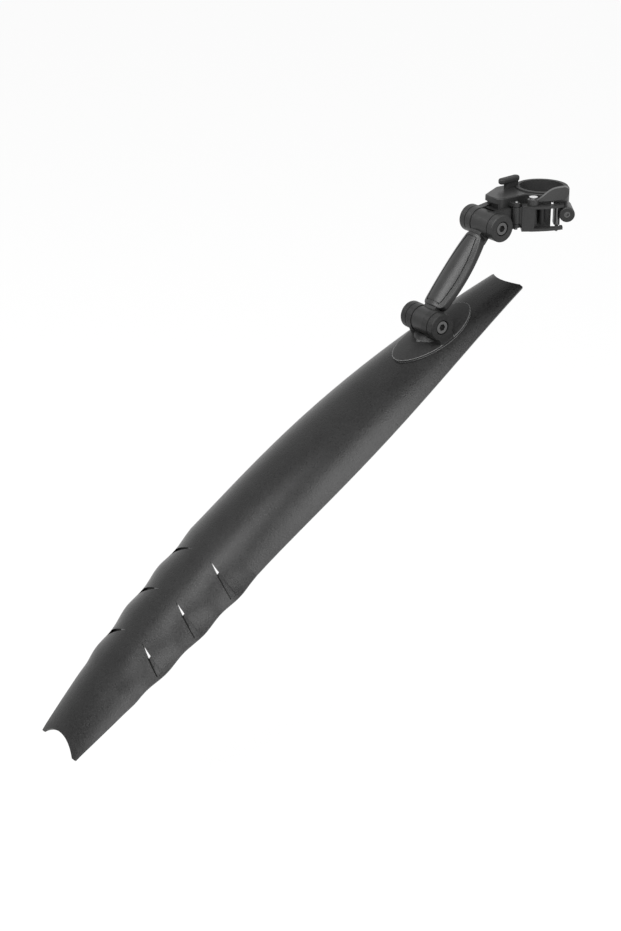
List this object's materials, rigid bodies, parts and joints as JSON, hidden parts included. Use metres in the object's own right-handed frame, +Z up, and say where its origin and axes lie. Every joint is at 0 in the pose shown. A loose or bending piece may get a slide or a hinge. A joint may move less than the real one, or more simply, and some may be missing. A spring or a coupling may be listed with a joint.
{
  "type": "bicycle mudguard",
  "caption": "Clip-on rear bicycle mudguard: long arched blade with gill slits on a hinged arm and a quick-release seatpost clamp.",
  "frame": {"origin": "middle of the seatpost clamp's bore, on the seatpost's axis", "axes": "+Z up the seatpost, +X to the front of the bicycle, +Y to its left; the blade runs to the rear, along -X"},
  "size_m": [0.4822, 0.0992, 0.3734],
  "materials": {
    "arm_plastic": "satin black moulding",
    "base_plastic": "fine-grained charcoal moulding",
    "blade_plastic": "fine-grained charcoal moulding",
    "bright_steel": "bright turned steel",
    "cam_plastic": "smooth black moulding",
    "clamp_plastic": "satin black moulding",
    "dark_steel": "blackened steel",
    "frame_plastic": "satin black moulding",
    "lever_plastic": "smooth black moulding",
    "liner_rubber": "soft black rubber"
  },
  "bodies": {
    "clamp": {"clamp_body": "clamp_plastic", "clamp_liner": "liner_rubber", "latch_pin": "dark_steel", "strike_pin": "dark_steel", "adjuster_screw": "dark_steel", "upper_hinge_bolt": "dark_steel", "upper_hinge_washer": "dark_steel", "upper_hinge_nut": "dark_steel"},
    "arm": {"arm": "arm_plastic"},
    "blade": {"mudguard_blade": "blade_plastic", "mount_base": "base_plastic", "front_base_screw": "dark_steel", "rear_base_screw": "dark_steel", "lower_hinge_bolt": "dark_steel", "lower_hinge_washer": "dark_steel", "lower_hinge_nut": "dark_steel"},
    "latch": {"latch_frame": "frame_plastic"},
    "lever": {"quick_release_lever": "lever_plastic", "lever_pin": "bright_steel", "lever_cam": "cam_plastic"}
  },
  "joints": [
    {"name": "arm_tilt", "type": "hinge", "parent": "clamp", "child": "arm", "pos_m": [-0.0568, 0, -0.012], "axis": [0, 1, 0], "range_deg": [-20, 50]},
    {"name": "blade_tilt", "type": "hinge", "parent": "arm", "child": "blade", "pos_m": [-0.11407, 0, -0.08272], "axis": [0, 1, 0], "range_deg": [-20, 60]},
    {"name": "frame_swing", "type": "hinge", "parent": "clamp", "child": "latch", "pos_m": [-0.03846, -0.01497, 0], "axis": [0, 0, -1], "range_deg": [0, 60]},
    {"name": "lever_swing", "type": "hinge", "parent": "latch", "child": "lever", "pos_m": [-0.02533, -0.01966, 0], "axis": [0, 0, -1], "range_deg": [0, 100]}
  ]
}
